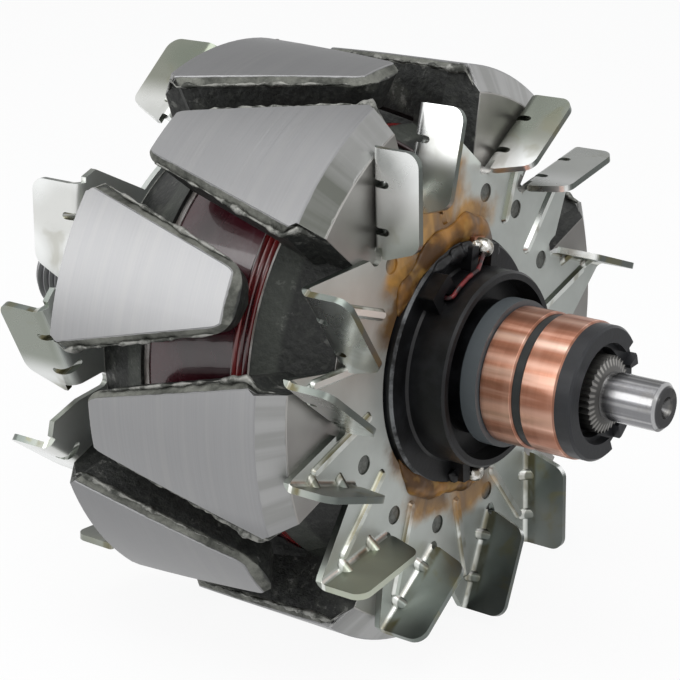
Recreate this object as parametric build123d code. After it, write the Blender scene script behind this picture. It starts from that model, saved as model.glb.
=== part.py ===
# Claw pole rotor of a vehicle alternator, lying along X with its slip rings at the +X end.
# The frame is at the middle of the shaft's length, on its axis, with +Z up. Sizes are millimetres.
# Angles around the shaft are measured from -Y towards +Z and are called places here.
from math import cos, degrees, hypot, radians, sin, tan
import os

from build123d import *

top_place = 90.0
half_turn = 180.0
full_turn = 360.0

# Shaft
shaft_length = 132.0
thread_diameter = 14.0
thread_pitch = 1.5
thread_depth = 0.85
thread_length = 18.0
drive_journal_diameter = 17.0
core_seat_diameter = 19.0
core_seat_overhang = 3.0
knurl_diameter = 13.0
knurl_depth = 0.7
knurl_count = 36
knurl_end_from_shaft_end = 10.6
slip_journal_diameter = 8.0
shaft_end_chamfer = 0.8
centre_drill_diameter = 3.6
centre_drill_angle = 60.0
knurl_end_chamfer = 1.2

# Claw poles
pole_middle_from_shaft_middle = 1.3
pole_diameter = 98.0
pole_face_from_middle = 24.2
pole_disc_thickness = 12.9
rim_chamfer_length = 2.9
rim_chamfer_depth = 4.5
fingers_per_pole = 6
drive_finger_place = 22.8
finger_reach = 12.8
finger_root_half_width = 14.2
finger_face_half_width = 12.1
finger_rim_half_width = 12.4
finger_widest_from_rim = 2.4
finger_tip_half_width = 5.3
finger_tip_thickness = 6.9
finger_root_thickness = 10.0
finger_edge_bevel = 1.3
finger_tip_corner_radius = 4.2
finger_side_draft = 14.0
finger_plan_margin = 6.0
tip_bevel_length = 1.8
tip_bevel_depth = 2.0
notch_floor_drop = 5.0

# Winding between the poles
winding_depth = 12.5
bobbin_wall = 1.2
bobbin_flange_thickness = 1.0
bobbin_flange_below_winding = 0.3
loose_turn_gap = 0.06
winding_below_finger_roots = 1.5
notch_clearance = 0.5
wire_diameter = 1.1
lead_diameter = 0.75
loose_turns = 3

# Stamped fans
sheet_thickness = 1.1
bend_radius = 1.0
blade_corner_radius = 2.4
blade_cut_foot = 3.0
slip_fan_bore_clearance = 0.5
slip_fan_blade_places = (26.3, 59.0, 75.5, 117.0, 139.5, 170.0, 205.0,
                         239.0, 264.5, 296.0, 322.5, 348.5, 369.0)
slip_fan_tip_below_claws = 2.1
slip_fan_blade_reach = 14.4
slip_fan_sweep = 15.0
slip_fan_blade_height = 8.1
slip_fan_inner_cut = 2.0
slip_fan_arm_tip_width = 1.2
slip_fan_arm_span = 30.0
drive_fan_bore_diameter = 25.0
drive_fan_blade_places = (12.0, 38.0, 87.0, 121.0, 152.0, 184.0, 219.0, 246.0, 278.0, 310.0, 343.5)
drive_fan_tip_below_claws = 0.6
drive_fan_blade_reach = 8.4
drive_fan_sweep = 20.0
drive_fan_blade_height = 9.2
drive_fan_inner_cut = 3.2
drive_fan_arm_tip_width = 4.4
drive_fan_slot_depth = 6.0
drive_fan_arm_span = 12.0
slot_end_radius = 1.3
dart_radius = 1.05
dart_wall = 0.45
dart_axis_from_corner = 1.95
dart_root_share = 0.65
dart_shares_of_blade = (0.25, 0.68)
arm_rib_width = 2.0
arm_rib_height = 0.6
arm_rib_from_flange = 3.8
arm_rib_inner_lag = 5.0
arm_rib_outer_lead = 0.5
arm_rib_from_tip = 6.0
arm_rib_taper = 40.0
weld_circle_from_flange = 7.5
weld_diameter = 3.2
weld_depth = 0.35
weld_places = (15.0, 47.0, 79.0, 105.0, 126.5, 155.0, 187.0, 218.0, 249.0, 280.0, 308.5, 337.5)

# Slip ring moulding and rings
flange_diameter = 41.6
flange_thickness = 2.4
cup_diameter = 33.1
cup_wall = 1.4
cup_rim_from_face = 9.5
cup_floor_from_face = 5.6
neck_diameter = 22.6
collar_diameter = 24.6
collar_length = 2.9
ring_diameter = 22.8
ring_wall = 1.4
inner_ring_from_face = 12.76
ring_length = 6.0
outer_ring_length = 6.34
ring_gap = 1.54
divider_diameter = 22.0
end_collar_diameter = 22.2
end_collar_length = 1.3
end_lobe_length = 1.5
end_lobe_inner_diameter = 16.6
end_lobe_slots = (150.0, 175.0, 245.0)
end_lobe_slot_width = 3.0
end_bore_diameter = 14.8
end_bore_depth = 3.6
moulding_edge = 0.4
ring_edge = 0.3

# Leads, ring conductors and resin
notch_lead_place = 82.8
upper_hole_place = 54.0
upper_joint_place = 97.0
lower_hole_place = 223.0
lower_joint_place = 266.0
lead_bend_radius = 1.0
lead_groove_width = 2.4
lead_groove_depth = 2.2
lead_hole_diameter = 1.5
lead_guide_width = 5.6
lead_guide_reach = 3.4
lead_guide_from_face = 5.4
terminal_wall_width = 2.0
terminal_wall_gap = 4.0
terminal_wall_reach = 3.6
terminal_wall_from_face = 4.6
lead_radius_at_wall = 17.15
lead_height_at_wall = 6.3
joint_from_cup = 3.05
joint_diameter = 3.4
joint_height = 3.4
lead_lay_clearance = 0.05
lead_wall_bends = 4
lead_approach = 6.0
conductor_width = 3.0
conductor_thickness = 0.8
conductor_radius = 7.8
resin_thickness = 0.7
resin_gap = 0.05
upper_resin_place = 87.0
upper_resin_half_span = 34.0
upper_resin_share = 0.76
lower_resin_place = 266.0
lower_resin_half_span = 30.0
lower_resin_share = 0.67

# Derived places along the shaft
shaft_half = shaft_length / 2
middle_x = pole_middle_from_shaft_middle
face_x = middle_x + pole_face_from_middle
drive_face_x = middle_x - pole_face_from_middle
disc_inner_from_middle = pole_face_from_middle - pole_disc_thickness
pole_radius = pole_diameter / 2
winding_radius = pole_radius - finger_root_thickness - winding_below_finger_roots
core_radius = winding_radius - winding_depth
seat_radius = core_seat_diameter / 2
notch_inner_radius = winding_radius + notch_clearance
notch_outer_radius = notch_inner_radius - notch_floor_drop
knurl_radius = knurl_diameter / 2
flange_radius = flange_diameter / 2
weld_circle_radius = flange_radius + weld_circle_from_flange
arm_rib_inner_radius = flange_radius + arm_rib_from_flange
slip_fan_tip_radius = pole_radius - slip_fan_tip_below_claws
slip_fan_base_radius = slip_fan_tip_radius - slip_fan_blade_reach
drive_fan_tip_radius = pole_radius - drive_fan_tip_below_claws
drive_fan_base_radius = drive_fan_tip_radius - drive_fan_blade_reach
cup_radius = cup_diameter / 2
joint_radius = cup_radius + joint_from_cup
ring_radius = ring_diameter / 2
ring_bore_radius = ring_radius - ring_wall
inner_ring_x = face_x + inner_ring_from_face
outer_ring_x = inner_ring_x + ring_length + ring_gap
outer_ring_end_x = outer_ring_x + outer_ring_length
end_collar_x = outer_ring_end_x + end_collar_length
moulding_end_x = end_collar_x + end_lobe_length


def around(x, radius, place):
    """Point at a radius and a place around the shaft."""
    turn = radians(place)
    return Vector(x, -radius * cos(turn), radius * sin(turn))


def turned(*points):
    """Solid of revolution about the shaft from points along it and out from it."""
    return revolve(make_face(Polyline(*points, close=True)), Axis.X, 360)


def face_plane(x, place=0.0):
    """Plane across the shaft, facing the slip ring end, with its x direction out at a place."""
    return Plane(origin=(x, 0, 0), x_dir=around(0, 1, place), z_dir=(1, 0, 0))


def thread_profile():
    """Ridges of the drive end thread, from the shaft end inwards."""
    crest = thread_diameter / 2
    root = crest - thread_depth
    flat = thread_pitch / 8
    points = []
    turn_count = int((thread_length - 2 * thread_pitch) / thread_pitch)
    for turn in range(turn_count):
        start = -shaft_half + thread_pitch * (turn + 1)
        points.append((start, crest))
        points.append((start + flat, crest))
        points.append((start + thread_pitch / 2, root))
        points.append((start + thread_pitch / 2 + flat, root))
    return points


def knurled_length(start_x, end_x):
    """Splined length of the shaft, toothed along its axis."""
    valley_side = knurl_depth * 2 ** 0.5
    valley = Pos(knurl_radius, 0) * Rectangle(valley_side, valley_side, rotation=45)
    pitch = 360 / knurl_count
    section = Circle(knurl_radius) - [Rot(0, 0, pitch * tooth) * valley for tooth in range(knurl_count)]
    return extrude(face_plane(start_x) * section, end_x - start_x)


def shaft():
    crest = thread_diameter / 2
    root = crest - thread_depth
    thread_end_x = -shaft_half + thread_length
    seat_start_x = drive_face_x - core_seat_overhang
    seat_end_x = face_x
    knurl_end_x = shaft_half - knurl_end_from_shaft_end
    slip_radius = slip_journal_diameter / 2
    body = turned(
        (-shaft_half, 0), (-shaft_half, root - shaft_end_chamfer / 2),
        (-shaft_half + shaft_end_chamfer, root),
        *thread_profile(),
        (thread_end_x - thread_pitch, root), (thread_end_x, root),
        (thread_end_x, drive_journal_diameter / 2 - shaft_end_chamfer),
        (thread_end_x + shaft_end_chamfer, drive_journal_diameter / 2),
        (seat_start_x, drive_journal_diameter / 2), (seat_start_x, seat_radius),
        (seat_end_x, seat_radius), (seat_end_x, knurl_radius - knurl_depth),
        (knurl_end_x, knurl_radius - knurl_depth), (knurl_end_x + knurl_end_chamfer / 2, slip_radius),
        (shaft_half - shaft_end_chamfer, slip_radius), (shaft_half, slip_radius - shaft_end_chamfer),
        (shaft_half, 0),
    )
    splines = knurled_length(seat_end_x, knurl_end_x)
    drill_radius = centre_drill_diameter / 2
    drill_depth = drill_radius / tan(radians(centre_drill_angle / 2))
    centre_drills = [turned((side * (shaft_half - drill_depth), 0), (side * shaft_half, drill_radius),
                            (side * (shaft_half + 1), drill_radius), (side * (shaft_half + 1), 0))
                     for side in (-1, 1)]
    return body + splines - centre_drills


def finger():
    """One claw finger with its root, pointing to +X at the top, from the middle plane of the poles."""
    face = -pole_face_from_middle
    rim = face + rim_chamfer_length
    tip = finger_reach + tip_bevel_length
    inner = -disc_inner_from_middle
    tip_inner_radius = pole_radius - finger_tip_thickness
    root_inner_radius = pole_radius - finger_root_thickness
    ring = turned(
        (face, core_radius), (face, pole_radius - rim_chamfer_depth), (rim, pole_radius),
        (finger_reach, pole_radius), (tip, pole_radius - tip_bevel_depth), (tip, tip_inner_radius),
        (inner, root_inner_radius), (inner, core_radius),
    )
    widest = rim + finger_widest_from_rim
    narrowing = (finger_root_half_width - finger_tip_half_width) / (tip - widest)
    plan_end = tip + tip_bevel_depth * tan(radians(finger_side_draft))
    half_plan = [(face - finger_plan_margin, finger_face_half_width), (rim, finger_rim_half_width),
                 (widest, finger_root_half_width),
                 (plan_end, finger_tip_half_width - narrowing * (plan_end - tip))]
    plan = make_face(Polyline(*half_plan, *[(x, -y) for x, y in reversed(half_plan)], close=True))
    plan = fillet(plan.vertices().group_by(Axis.X)[-1], finger_tip_corner_radius)
    top = Plane(origin=(0, 0, pole_radius), x_dir=(1, 0, 0), z_dir=(0, 0, -1))
    solid = ring & extrude(top * plan, pole_radius - core_radius / 2, taper=finger_side_draft)
    bevelled = [edge for edge in solid.edges()
                if edge.geom_type not in (GeomType.CIRCLE, GeomType.LINE)
                and abs(hypot((edge @ 0.5).Y, (edge @ 0.5).Z) - pole_radius) < 0.01
                and (edge @ 0.5).X > widest]
    return chamfer(bevelled, finger_edge_bevel)


def claw_pole(joined_face_bore):
    """One pole: a disc with six fingers that point to +X, from the middle plane of the poles."""
    face = -pole_face_from_middle
    inner = -disc_inner_from_middle
    disc = turned((face, joined_face_bore), (face, notch_outer_radius), (inner, notch_inner_radius),
                  (inner, joined_face_bore))
    one = finger()
    step = 360 / fingers_per_pole
    return disc + [Rot(step * count, 0, 0) * one for count in range(fingers_per_pole)]


def drive_end_claw_pole():
    turn = top_place - drive_finger_place
    return Pos(middle_x, 0, 0) * Rot(turn, 0, 0) * claw_pole(seat_radius)


def lead_groove(joint_place_at_notch, hole_place):
    """Channel in the slip ring end face that takes one winding lead from its notch to its hole."""
    start = around(0, notch_outer_radius + lead_groove_width, joint_place_at_notch)
    end = around(0, lead_radius_at_wall, hole_place)
    run = end - start
    centre = (start + end) * 0.5
    plane = Plane(origin=(face_x - lead_groove_depth, centre.Y, centre.Z), x_dir=run, z_dir=(1, 0, 0))
    slot = plane * SlotOverall(run.length + lead_groove_width, lead_groove_width)
    return extrude(slot, lead_groove_depth + 1)


def slip_ring_end_claw_pole():
    half_pitch = 180 / fingers_per_pole
    turn = top_place - drive_finger_place + half_pitch
    pole = Pos(middle_x, 0, 0) * Rot(turn, 0, 0) * Rot(0, 0, 180) * claw_pole(seat_radius)
    pole -= lead_groove(notch_lead_place, upper_hole_place)
    return pole - lead_groove(notch_lead_place + half_turn, lower_hole_place)


def polar(radius, angle):
    """Point of a fan's own plane."""
    return Vector(radius * cos(radians(angle)), radius * sin(radians(angle)), 0)


def bent_section(height):
    """Section of a sheet bent up from flat, from the outside of the bend towards the arm."""
    outer = bend_radius + sheet_thickness
    slope = cos(radians(45))
    outside = outer * (1 - slope)
    inside = outer - bend_radius * slope
    edge = Polyline((outer, 0), (outer + 1, 0), (outer + 1, sheet_thickness), (outer, sheet_thickness))
    edge += ThreePointArc((outer, sheet_thickness), (inside, inside), (sheet_thickness, outer))
    edge += Polyline((sheet_thickness, outer), (sheet_thickness, height), (0, height), (0, outer))
    edge += ThreePointArc((0, outer), (outside, outside), (outer, 0))
    return make_face(edge)


def blade_outline(length, height, inner_cut):
    """Side view of a blade along its bend, with rounded top corners."""
    shape = make_face(Polyline((0, -1), (length, -1), (length, height), (inner_cut, height),
                               (0, blade_cut_foot), close=True))
    return fillet(shape.vertices().group_by(Axis.Y)[-1], blade_corner_radius)


def dart(corner, along, inward, turn):
    """Pressed stiffener across a bend, at a point of its outside corner: ridge inside and hollow outside."""
    up = Vector(0, 0, 1)
    axis_point = corner + (inward + up).normalized() * dart_axis_from_corner
    across = Plane(origin=axis_point, x_dir=along, z_dir=(up - inward) * turn)
    depth = dart_axis_from_corner + sheet_thickness
    hollow_radius = dart_radius - dart_wall
    ridge = Circle(dart_radius) + Pos(0, -depth / 2) * Rectangle(dart_radius * 2, depth)
    hollow = Circle(hollow_radius) + Pos(0, -depth / 2) * Rectangle(hollow_radius * 2, depth)
    side = depth * 2
    inside = Plane(origin=corner, x_dir=inward, z_dir=along * turn)
    inside *= Pos(side / 2 + sheet_thickness * dart_root_share, side / 2 + sheet_thickness * dart_root_share)
    quarter = extrude(inside * Rectangle(side, side), dart_radius * 2, both=True)
    return extrude(across * ridge, side, both=True) & quarter, extrude(across * hollow, side, both=True)


def stamped_fan(places, base_radius, disc_radius, tip_radius, sweep, height, inner_cut, tip_width, arm_span,
                bore_radius, turn):
    """Fan stamped from sheet that lies on its own XY plane, with one bent-up blade on each arm.
    A turn of 1 has the places run anticlockwise and -1 clockwise. Blades are bent up at the lower place."""
    outer_bend = bend_radius + sheet_thickness
    full_height = height + sheet_thickness
    plate = Sketch() + Circle(disc_radius)
    slots = []
    blades = []
    ridges = []
    hollows = []
    for place, following in zip(places, places[1:] + (places[0] + full_turn,)):
        base_in = polar(base_radius, turn * (place - sweep))
        base_out = polar(tip_radius, turn * place)
        run = base_out - base_in
        along = run.normalized()
        inward = Vector(-along.Y, along.X, 0) * turn
        arm_end = min(following - sweep, place + arm_span)
        arm = make_face(Polyline(
            (0, 0), base_in, base_out,
            polar(tip_radius - tip_width / 2, turn * (place + degrees(tip_width / tip_radius))),
            polar(disc_radius, turn * arm_end), close=True))
        strip = Plane(origin=base_in, x_dir=along, z_dir=(0, 0, 1)) * Pos(run.length / 2, 0) * Rectangle(
            run.length * 2, outer_bend * 2)
        plate += arm - strip
        section = Plane(origin=base_in, x_dir=inward, z_dir=along * turn) * bent_section(full_height)
        outline = Plane(origin=base_in, x_dir=along, z_dir=Vector(along.Y, -along.X, 0)) * blade_outline(
            run.length, full_height, inner_cut)
        bent = extrude(section, turn * run.length) & extrude(outline, base_radius, both=True)
        blades.append(bent & extrude(arm, full_height))
        slot_run = base_radius - disc_radius + slot_end_radius
        slot = Circle(slot_end_radius) + Pos(slot_run / 2, 0) * Rectangle(slot_run, slot_end_radius * 2)
        slots.append(Rot(0, 0, turn * (place - sweep)) * Pos(disc_radius, 0) * slot)
        for share in dart_shares_of_blade:
            ridge, hollow = dart(base_in + along * run.length * share, along, inward, turn)
            ridges.append(ridge)
            hollows.append(hollow)
    plate -= Circle(bore_radius)
    sheet = extrude(plate, sheet_thickness) + blades
    sheet -= [extrude(slot, sheet_thickness * 2, both=True) for slot in slots]
    return sheet + ridges - hollows


def weld_dimples(turn):
    """Round marks that spot welding leaves on the face of a fan."""
    return [Pos(polar(weld_circle_radius, turn * place)) * Pos(0, 0, sheet_thickness)
            * Cylinder(weld_diameter / 2, weld_depth * 2) for place in weld_places]


def arm_ribs():
    """Raised ribs along the arms of the slip ring end fan, on the fan's own plane."""
    ribs = []
    for place in slip_fan_blade_places:
        start = polar(arm_rib_inner_radius, -(place + arm_rib_inner_lag))
        end = polar(slip_fan_tip_radius - arm_rib_from_tip, -(place - arm_rib_outer_lead))
        run = end - start
        plane = Plane(origin=(start + end) * 0.5 + Vector(0, 0, sheet_thickness), x_dir=run, z_dir=(0, 0, 1))
        rib = plane * SlotOverall(run.length, arm_rib_width)
        ribs.append(extrude(rib, arm_rib_height, taper=arm_rib_taper))
    return ribs


def slip_ring_end_fan():
    fan = stamped_fan(
        slip_fan_blade_places, base_radius=slip_fan_base_radius, disc_radius=slip_fan_base_radius,
        tip_radius=slip_fan_tip_radius, sweep=slip_fan_sweep, height=slip_fan_blade_height,
        inner_cut=slip_fan_inner_cut, tip_width=slip_fan_arm_tip_width, arm_span=slip_fan_arm_span,
        bore_radius=flange_radius + slip_fan_bore_clearance, turn=-1)
    return face_plane(face_x) * (fan + arm_ribs() - weld_dimples(-1))


def drive_end_fan():
    fan = stamped_fan(
        drive_fan_blade_places, base_radius=drive_fan_base_radius,
        disc_radius=drive_fan_base_radius - drive_fan_slot_depth, tip_radius=drive_fan_tip_radius,
        sweep=drive_fan_sweep, height=drive_fan_blade_height, inner_cut=drive_fan_inner_cut,
        tip_width=drive_fan_arm_tip_width, arm_span=drive_fan_arm_span,
        bore_radius=drive_fan_bore_diameter / 2, turn=1)
    plane = Plane(origin=(drive_face_x, 0, 0), x_dir=(0, -1, 0), z_dir=(-1, 0, 0))
    return plane * (fan - weld_dimples(1))


def pole_core():
    reach = disc_inner_from_middle
    return Pos(middle_x, 0, 0) * turned((-reach, seat_radius), (-reach, core_radius), (reach, core_radius),
                                        (reach, seat_radius))


def winding_bobbin():
    reach = disc_inner_from_middle
    inner = reach - bobbin_flange_thickness
    tube = core_radius + bobbin_wall
    rim = winding_radius - bobbin_flange_below_winding
    return Pos(middle_x, 0, 0) * turned(
        (-reach, core_radius), (-reach, rim), (-inner, rim), (-inner, tube), (inner, tube), (inner, rim),
        (reach, rim), (reach, core_radius))


def field_winding():
    """Coil with a smooth varnished outside and its last turns standing free at the slip ring end."""
    reach = disc_inner_from_middle - bobbin_flange_thickness
    pitch = wire_diameter + loose_turn_gap
    loose_start = reach - pitch * loose_turns
    valley_radius = winding_radius - wire_diameter / 2
    inner_radius = core_radius + bobbin_wall
    edge = Polyline((reach, valley_radius), (reach, inner_radius), (-reach, inner_radius),
                    (-reach, valley_radius), (loose_start, valley_radius))
    for count in range(loose_turns):
        start = loose_start + pitch * count
        edge += ThreePointArc((start, valley_radius), (start + wire_diameter / 2, winding_radius),
                              (start + wire_diameter, valley_radius))
        edge += Line((start + wire_diameter, valley_radius), (start + pitch, valley_radius))
    return Pos(middle_x, 0, 0) * revolve(make_face(edge), Axis.X, 360)


def lead_points(hole_place, joint_place, notch_place):
    """Route of a winding lead: off the coil, over the notch, under the fan, then round the cup wall."""
    lift = lead_diameter / 2 + lead_lay_clearance
    floor_slope = notch_floor_drop / pole_disc_thickness
    coil_end_x = middle_x + disc_inner_from_middle
    groove_x = face_x - lead_groove_depth + lift
    notch_radius = notch_outer_radius + floor_slope * (face_x - groove_x) + lift * hypot(1, floor_slope)
    points = [
        around(coil_end_x - bobbin_flange_thickness * 2, winding_radius + lift, notch_place),
        around(coil_end_x + lift / 2, winding_radius + lift * 2, notch_place),
        around(groove_x, notch_radius, notch_place),
        around(groove_x, lead_radius_at_wall, hole_place),
        around(face_x + lead_height_at_wall, lead_radius_at_wall, hole_place),
    ]
    stretch = joint_place - hole_place - lead_approach
    step = stretch / lead_wall_bends
    chord_radius = lead_radius_at_wall / cos(radians(step / 2))
    for count in range(1, lead_wall_bends):
        points.append(around(face_x + lead_height_at_wall, chord_radius, hole_place + step * count))
    joint_x = face_x + flange_thickness + joint_height / 2
    above = joint_x + lead_diameter
    points.append(around(above, joint_radius - lead_diameter, joint_place - lead_approach / 2))
    points.append(around(joint_x, joint_radius, joint_place))
    return points


def winding_lead(hole_place, joint_place, notch_place):
    points = lead_points(hole_place, joint_place, notch_place)
    path = FilletPolyline(*points, radius=lead_bend_radius)
    start = Plane(origin=path @ 0, z_dir=path % 0)
    return sweep(start * Circle(lead_diameter / 2), path=path)


def upper_winding_lead():
    return winding_lead(upper_hole_place, upper_joint_place, notch_lead_place)


def lower_winding_lead():
    return winding_lead(lower_hole_place, lower_joint_place, notch_lead_place + half_turn)


def ring_conductor(joint_place, end_x):
    """Copper strip from a tab on the flange, in through the moulding and along it to the inside of a ring."""
    start_x = face_x + flange_thickness
    tab_x = start_x + conductor_thickness
    outer = joint_radius + joint_diameter / 2
    leg = conductor_radius + conductor_thickness
    profile = Polyline((start_x, outer), (tab_x, outer), (tab_x, leg), (end_x, leg),
                       (end_x, conductor_radius), (start_x, conductor_radius), close=True)
    strip = extrude(make_face(profile), conductor_width / 2, both=True)
    contact_start = end_x - conductor_thickness
    contact = turned((contact_start, conductor_radius), (contact_start, ring_bore_radius),
                     (end_x, ring_bore_radius), (end_x, conductor_radius))
    contact &= Pos(end_x, ring_bore_radius, 0) * Box(ring_length, ring_bore_radius, conductor_width)
    return Rot(180 - joint_place, 0, 0) * (strip + contact)


def inner_ring_conductor():
    return ring_conductor(lower_joint_place, inner_ring_x + ring_length / 2)


def outer_ring_conductor():
    return ring_conductor(upper_joint_place, outer_ring_x + outer_ring_length / 2)


def slip_ring(start_x, length):
    end_x = start_x + length
    shoulder = ring_radius - ring_edge
    return turned((start_x, ring_bore_radius), (start_x, shoulder), (start_x + ring_edge, ring_radius),
                  (end_x - ring_edge, ring_radius), (end_x, shoulder), (end_x, ring_bore_radius))


def inner_slip_ring():
    return slip_ring(inner_ring_x, ring_length)


def outer_slip_ring():
    return slip_ring(outer_ring_x, outer_ring_length)


def moulded_block(place, offset, width, reach, top_from_face):
    """Block that stands on the flange against the cup, to one side of a place."""
    sunk = cup_wall / 2
    plane = face_plane(face_x + flange_thickness / 2, place)
    middle_radius = cup_radius + (reach - sunk) / 2
    shape = plane * Pos(middle_radius, offset) * RectangleRounded(reach + sunk, width, moulding_edge)
    return extrude(shape, top_from_face - flange_thickness / 2)


def slip_ring_moulding():
    flange_top = face_x + flange_thickness
    rim_x = face_x + cup_rim_from_face
    floor_x = face_x + cup_floor_from_face
    cup_inner = cup_radius - cup_wall
    neck = neck_diameter / 2
    collar = collar_diameter / 2
    divider = divider_diameter / 2
    end_collar = end_collar_diameter / 2
    lobe_inner = end_lobe_inner_diameter / 2
    end_bore = end_bore_diameter / 2
    edge = moulding_edge
    body = turned(
        (face_x, knurl_radius), (face_x, flange_radius), (flange_top - edge, flange_radius),
        (flange_top, flange_radius - edge), (flange_top, cup_radius + edge), (flange_top + edge, cup_radius),
        (rim_x - edge, cup_radius), (rim_x, cup_radius - edge), (rim_x, cup_inner), (floor_x, cup_inner),
        (floor_x, neck), (inner_ring_x - collar_length, neck), (inner_ring_x - collar_length, collar),
        (inner_ring_x, collar), (inner_ring_x, ring_bore_radius),
        (inner_ring_x + ring_length, ring_bore_radius), (inner_ring_x + ring_length, divider),
        (outer_ring_x, divider), (outer_ring_x, ring_bore_radius),
        (outer_ring_end_x, ring_bore_radius), (outer_ring_end_x, end_collar),
        (moulding_end_x - edge, end_collar), (moulding_end_x, end_collar - edge),
        (moulding_end_x, lobe_inner), (end_collar_x, lobe_inner),
        (end_collar_x, end_bore), (moulding_end_x - end_bore_depth, end_bore),
        (moulding_end_x - end_bore_depth, knurl_radius),
    )
    blocks = [moulded_block(place, 0, lead_guide_width, lead_guide_reach, lead_guide_from_face)
              for place in (upper_hole_place, lower_hole_place)]
    wall_offset = (terminal_wall_gap + terminal_wall_width) / 2
    blocks += [moulded_block(place, side * wall_offset, terminal_wall_width, terminal_wall_reach,
                             terminal_wall_from_face)
               for place in (upper_joint_place, lower_joint_place) for side in (-1, 1)]
    slots = []
    for place in end_lobe_slots:
        slot = Pos(end_collar, 0) * Rectangle(end_collar, end_lobe_slot_width)
        slots.append(extrude(face_plane(end_collar_x, place) * slot, end_lobe_length + 1))
    holes = [Pos(around(face_x, lead_radius_at_wall, place)) * Rot(0, 90, 0)
             * Cylinder(lead_hole_diameter / 2, (lead_guide_from_face + 1) * 2)
             for place in (upper_hole_place, lower_hole_place)]
    return body + blocks - slots - holes - [inner_ring_conductor(), outer_ring_conductor()]


def solder_joint(joint_place, lead):
    """Mound of solder on a conductor's tab, around the end of a lead."""
    base_x = face_x + flange_thickness + conductor_thickness
    radius = joint_diameter / 2
    height = joint_height - conductor_thickness
    dome = revolve(make_face(Spline((0, radius), (height, 0), tangents=((1, 0), (0, -1)))
                             + Polyline((height, 0), (0, 0), (0, radius))), Axis.X, 360)
    return Pos(around(base_x, joint_radius, joint_place)) * dome - lead


def upper_solder_joint():
    return solder_joint(upper_joint_place, upper_winding_lead())


def lower_solder_joint():
    return solder_joint(lower_joint_place, lower_winding_lead())


def resin_seal(place, half_span, share):
    """Film of impregnating resin on the fan, over a share of the way from the flange to the blades."""
    inner = flange_radius + slip_fan_bore_clearance + resin_gap
    reach = (slip_fan_base_radius - inner) * share
    first = -(place - half_span)
    last = -(place + half_span)
    outer_edge = Spline(polar(inner + reach * 0.4, first), polar(inner + reach, -(place - half_span * 0.2)),
                        polar(inner + reach * 0.8, -(place + half_span * 0.4)),
                        polar(inner + reach * 0.3, last))
    edge = outer_edge + Line(polar(inner, first), outer_edge @ 0) + Line(outer_edge @ 1, polar(inner, last))
    edge += CenterArc((0, 0), inner, last, half_span * 2)
    film = extrude(Pos(0, 0, sheet_thickness) * make_face(edge), resin_thickness)
    return face_plane(face_x) * (film - arm_ribs())


def upper_resin_seal():
    return resin_seal(upper_resin_place, upper_resin_half_span, upper_resin_share)


def lower_resin_seal():
    return resin_seal(lower_resin_place, lower_resin_half_span, lower_resin_share)


nodes = (
    shaft, pole_core, winding_bobbin, field_winding, drive_end_claw_pole, slip_ring_end_claw_pole,
    drive_end_fan, slip_ring_end_fan, slip_ring_moulding, inner_slip_ring, outer_slip_ring,
    inner_ring_conductor, outer_ring_conductor, upper_winding_lead, lower_winding_lead,
    upper_solder_joint, lower_solder_joint, upper_resin_seal, lower_resin_seal,
)
os.makedirs("parts", exist_ok=True)
for make in nodes:
    export_step(make(), "parts/" + make.__name__ + ".step")
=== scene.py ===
"""Looks of a claw pole alternator rotor: turned claws, varnished winding, plated fans, copper rings."""

from math import acos, asin, cos, degrees, hypot, radians, sin

import bmesh
import bpy
from mathutils import Matrix, Vector, noise


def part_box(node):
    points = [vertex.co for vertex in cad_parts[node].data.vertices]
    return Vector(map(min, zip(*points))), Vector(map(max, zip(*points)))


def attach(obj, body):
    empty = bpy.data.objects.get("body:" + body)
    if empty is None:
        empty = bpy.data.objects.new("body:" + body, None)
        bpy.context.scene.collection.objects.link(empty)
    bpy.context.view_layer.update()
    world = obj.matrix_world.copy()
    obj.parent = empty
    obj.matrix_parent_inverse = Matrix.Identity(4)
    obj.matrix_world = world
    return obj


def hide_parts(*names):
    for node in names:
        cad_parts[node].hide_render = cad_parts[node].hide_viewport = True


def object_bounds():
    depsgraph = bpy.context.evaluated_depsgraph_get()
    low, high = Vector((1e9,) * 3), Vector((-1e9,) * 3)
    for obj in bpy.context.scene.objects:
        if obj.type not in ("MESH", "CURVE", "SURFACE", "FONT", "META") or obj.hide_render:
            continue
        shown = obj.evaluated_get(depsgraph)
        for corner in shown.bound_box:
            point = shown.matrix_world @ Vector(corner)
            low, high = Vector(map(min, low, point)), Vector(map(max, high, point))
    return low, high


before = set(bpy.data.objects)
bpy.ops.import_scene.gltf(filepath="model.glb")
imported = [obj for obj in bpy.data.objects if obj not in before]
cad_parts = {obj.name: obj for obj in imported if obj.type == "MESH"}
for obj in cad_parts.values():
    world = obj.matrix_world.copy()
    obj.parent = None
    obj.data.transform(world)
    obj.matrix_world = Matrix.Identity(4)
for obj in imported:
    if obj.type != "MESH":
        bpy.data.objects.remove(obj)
cad_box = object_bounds()

MM = 0.001

# Sizes taken over from the frame. The shaft lies along X and the slip rings are at its +X end.
CLAW_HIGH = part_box("slip_ring_end_claw_pole")[1]
CLAW_RADIUS = CLAW_HIGH.y
CLAW_FACE = CLAW_HIGH.x
DRIVE_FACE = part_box("drive_end_claw_pole")[0].x
WINDING_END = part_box("field_winding")[1].x
INNER_RING_LOW, INNER_RING_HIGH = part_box("inner_slip_ring")
OUTER_RING_LOW, OUTER_RING_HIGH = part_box("outer_slip_ring")
FLANGE_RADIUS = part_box("slip_ring_moulding")[1].y
SHAFT_LOW, SHAFT_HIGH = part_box("shaft")
RING_RADIUS = OUTER_RING_HIGH.y
CLAWS_MIDDLE = (CLAW_FACE + DRIVE_FACE) / 2
CLAWS_HALF_LENGTH = (CLAW_FACE - DRIVE_FACE) / 2
FLOOR_HEIGHT = cad_box[0][2]

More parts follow.
